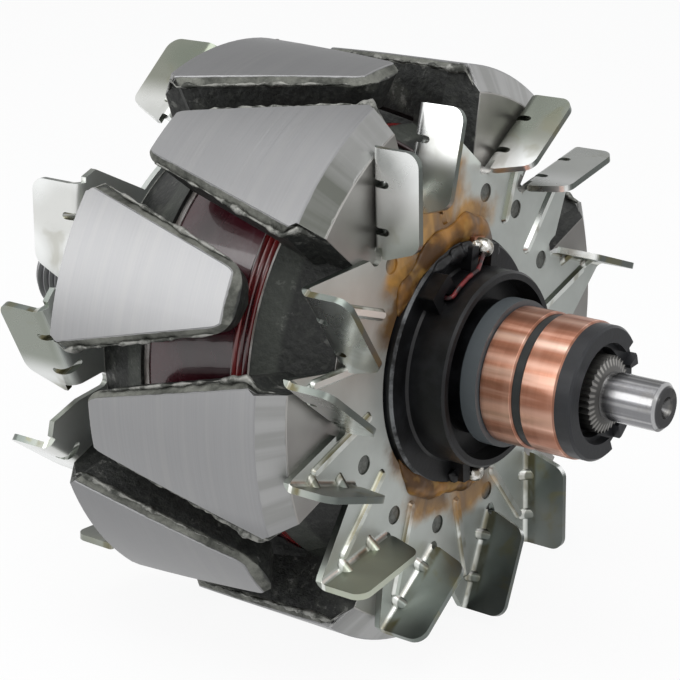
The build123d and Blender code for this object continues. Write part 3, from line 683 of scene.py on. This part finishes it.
def claw_burrs(name, finish, seed):
    """Lumpy ridges of burr and set varnish along both edges of every claw, thickest at its root."""
    shape = bmesh.new()
    rounds = 8
    steps = 110
    for ridge in range(CLAW_COUNT * 2):
        claw, second_edge = divmod(ridge, 2)
        end = 1 if claw % 2 else -1
        side = 1 if second_edge else -1
        claw_place = CLAW_PLACE + 360 / CLAW_COUNT * claw
        rings = []
        for step in range(steps + 1):
            along, half_width = claw_edge(step / steps)
            # The burr follows the outside, and the cone where the claw reaches its root.
            level = CLAW_RADIUS - (1.0 + 1.55 * max(0, along - 21.3)) * MM
            spot = Vector((along * 0.28, ridge * 7.3, seed))
            fine = noise.noise(spot * 3.1)
            swell = max(0.12, 0.42 + 0.9 * noise.noise(spot) + 0.3 * fine)
            swell *= 1 + 1.3 * max(0, min(1, (along - 13) / 6))
            size = 0.62 * swell * MM * sin(radians(180 * step / steps)) ** 0.3
            place = claw_place + side * degrees(asin(half_width * MM / CLAW_RADIUS))
            centre = around(CLAWS_MIDDLE + end * along * MM, level + 0.2 * MM * fine, place)
            out = around(0, 1, place)
            across = around(0, 1, place + 90)
            ring = []
            for turn in range(rounds):
                angle = radians(360 * turn / rounds)
                ring.append(shape.verts.new(centre + (out * cos(angle) + across * sin(angle)) * size))
            rings.append(ring)
        for near, far in zip(rings, rings[1:]):
            for turn in range(rounds):
                shape.faces.new((near[turn], near[turn - 1], far[turn - 1], far[turn]))
        shape.faces.new(rings[0])
        shape.faces.new(rings[-1][::-1])
    bmesh.ops.recalc_face_normals(shape, faces=shape.faces)
    new_piece(name, made_mesh(name, shape), finish)


def lumps(name, spots, finish, seed):
    """Round lumps of set varnish or solder at the flange's edge."""
    shape = bmesh.new()
    for index, (place, radius, height, size, stretch) in enumerate(spots):
        made = bmesh.ops.create_icosphere(shape, subdivisions=4, radius=1.0)["verts"]
        centre = around(FLANGE_TOP + height * MM, radius * MM, place)
        out = around(0, 1, place)
        side = around(0, 1, place + 90)
        for vert in made:
            knob = 1 + 0.30 * noise.noise(vert.co * 1.1 + Vector((seed, index * 3.1, 0)))
            knob += 0.05 * noise.noise(vert.co * 2.6 + Vector((0, seed, index * 2.3)))
            local = vert.co * knob * size * MM
            vert.co = centre + Vector((1, 0, 0)) * local.z * 0.8 + out * local.x + side * local.y * stretch
    new_piece(name, made_mesh(name, shape), finish)


def direction(turn, lift):
    """Unit vector away from the rotor, turned from -Y towards +X and lifted, in radians."""
    return Vector((sin(turn) * cos(lift), -cos(turn) * cos(lift), sin(lift)))


def place_camera():
    """The camera that took the photograph."""
    data = bpy.data.cameras.new("camera")
    data.sensor_width = SENSOR
    data.lens = FOCAL_PIXELS / IMAGE_SIDE * SENSOR
    data.clip_start = 0.01
    camera = add_object("camera", data)
    back = direction(CAMERA_TURN, CAMERA_LIFT)
    right = Vector((cos(CAMERA_TURN), sin(CAMERA_TURN), 0))
    up = back.cross(right)
    rolled_right = right * cos(CAMERA_ROLL) + up * sin(CAMERA_ROLL)
    rolled_up = up * cos(CAMERA_ROLL) - right * sin(CAMERA_ROLL)
    aim = Vector((AIM_ALONG_SHAFT, 0, 0)) + rolled_up * AIM_LIFT
    turn = Matrix((rolled_right, rolled_up, back)).transposed().to_4x4()
    camera.matrix_world = Matrix.Translation(aim + back * CAMERA_DISTANCE) @ turn
    bpy.context.scene.camera = camera


def mixed(tree, factor, first, second):
    """Shader that goes from the first to the second as the factor goes from 0 to 1."""
    mix = tree.nodes.new("ShaderNodeMixShader")
    for socket, source in zip(mix.inputs, (factor, first, second)):
        tree.links.new(source, socket)
    return mix.outputs[0]


def seen_white(tree, lit, white_share=1.0):
    """Shader that is plain white to the camera and in reflections, and lit to everything else."""
    path = tree.nodes.new("ShaderNodeLightPath")
    seen = path.outputs["Is Camera Ray"]
    for ray in ("Is Glossy Ray", "Is Transmission Ray"):
        larger = tree.nodes.new("ShaderNodeMath")
        larger.operation = "MAXIMUM"
        tree.links.new(seen, larger.inputs[0])
        tree.links.new(path.outputs[ray], larger.inputs[1])
        seen = larger.outputs[0]
    share = tree.nodes.new("ShaderNodeMath")
    share.operation = "MULTIPLY"
    share.inputs[1].default_value = white_share
    tree.links.new(seen, share.inputs[0])
    white = tree.nodes.new("ShaderNodeEmission")
    return mixed(tree, share.outputs[0], lit, white.outputs[0])


def stage_piece(name, shape):
    """Piece of the studio, which doesn't belong to the part, and its material's node tree."""
    mesh = made_mesh(name, shape)
    material = bpy.data.materials.new(name)
    material.use_nodes = True
    mesh.materials.append(material)
    add_object(name, mesh)
    return material.node_tree


def lay_floor():
    """Pale floor that takes the part's shadow."""
    shape = bmesh.new()
    bmesh.ops.create_grid(shape, x_segments=1, y_segments=1, size=3.0)
    bmesh.ops.translate(shape, verts=shape.verts, vec=(0, 0, FLOOR_HEIGHT))
    tree = stage_piece("floor", shape)
    paper = tree.nodes["Principled BSDF"]
    paper.inputs["Base Color"].default_value = (0.86, 0.86, 0.86, 1)
    paper.inputs["Roughness"].default_value = 0.9
    surface = seen_white(tree, paper.outputs[0], white_share=0.92)
    tree.links.new(surface, tree.nodes["Material Output"].inputs[0])


def light_world():
    """Pale sky all round, seen as white."""
    world = bpy.data.worlds.new("studio")
    world.use_nodes = True
    tree = world.node_tree
    sky = tree.nodes["Background"]
    sky.inputs["Color"].default_value = (0.93, 0.96, 1.0, 1)
    sky.inputs["Strength"].default_value = 0.45
    tree.links.new(seen_white(tree, sky.outputs[0]), tree.nodes["World Output"].inputs[0])
    bpy.context.scene.world = world


def soft_light(name, turn, lift, distance, width, height, power):
    """Area light that faces the rotor, with its direction given in degrees as the camera's is."""
    data = bpy.data.lights.new(name, "AREA")
    data.shape = "RECTANGLE"
    data.size = width
    data.size_y = height
    data.energy = power
    away = direction(radians(turn), radians(lift))
    facing = away.to_track_quat("Z", "Y").to_matrix().to_4x4()
    add_object(name, data).matrix_world = Matrix.Translation(away * distance) @ facing


def reflection_card(name, centre, facing, width, height, tone):
    """Card that only shows in reflections, as a darker part of the room."""
    shape = bmesh.new()
    bmesh.ops.create_grid(shape, x_segments=1, y_segments=1, size=0.5)
    bmesh.ops.scale(shape, verts=shape.verts, vec=(width, height, 1))
    turn = Vector(facing).to_track_quat("Z", "Y").to_matrix().to_4x4()
    bmesh.ops.transform(shape, verts=shape.verts, matrix=Matrix.Translation(centre) @ turn)
    tree = stage_piece(name, shape)
    path = tree.nodes.new("ShaderNodeLightPath")
    clear = tree.nodes.new("ShaderNodeBsdfTransparent")
    dark = tree.nodes.new("ShaderNodeEmission")
    dark.inputs["Color"].default_value = (tone, tone, tone, 1)
    surface = mixed(tree, path.outputs["Is Glossy Ray"], clear.outputs[0], dark.outputs[0])
    tree.links.new(surface, tree.nodes["Material Output"].inputs[0])


moulding = black_moulding()
solder = bright_solder()
resin = amber_resin()
dress(claw_steel(), "drive_end_claw_pole", "slip_ring_end_claw_pole", "pole_core")
dress(shaft_steel(), "shaft")
dress(varnished_wire(), "field_winding")
dress(bobbin_nylon(), "winding_bobbin")
dress(moulding, "slip_ring_moulding")
dress(ring_copper(), "inner_slip_ring", "outer_slip_ring", "inner_ring_conductor", "outer_ring_conductor")
dress(lead_wire(), "upper_winding_lead", "lower_winding_lead")
dress(solder, "upper_solder_joint", "lower_solder_joint")

drive_sheet = plated_sheet("plated_sheet", DRIVE_FACE, -1, DRIVE_SHADED_BLADES)
edged("drive_end_fan", "drive_end_fan_rounded", drive_sheet, 0.22 * MM)
edged("slip_ring_end_fan", "slip_ring_end_fan_rounded", stained_sheet(), 0.22 * MM)
resin_bead("upper_resin_run", "upper_resin_seal", resin, first=34, last=118, reach=5.4, seed=4)
resin_bead("lower_resin_run", "lower_resin_seal", resin, first=234, last=322, reach=3.8, seed=11)
claw_burrs("claw_burrs", burr_steel(), seed=5)
lumps("varnish_lumps", VARNISH_LUMPS, moulding, seed=2)
lumps("solder_runs", SOLDER_LUMPS, solder, seed=7)

place_camera()
lay_floor()
light_world()
soft_light("key", turn=-38, lift=24, distance=0.9, width=0.7, height=0.5, power=2.35)
soft_light("overhead", turn=20, lift=75, distance=0.9, width=0.8, height=0.6, power=4.5)
soft_light("fill", turn=62, lift=42, distance=1.1, width=0.6, height=0.6, power=2.2)
reflection_card("high_card", centre=(-0.40, 0.44, 0.38), facing=(0.57, -0.62, -0.53),
                width=0.75, height=0.65, tone=0.48)
reflection_card("floor_card", centre=(0.40, 0.42, FLOOR_HEIGHT + MM), facing=(0, 0, 1),
                width=0.7, height=0.8, tone=0.50)
bpy.context.scene.view_settings.view_transform = "Standard"
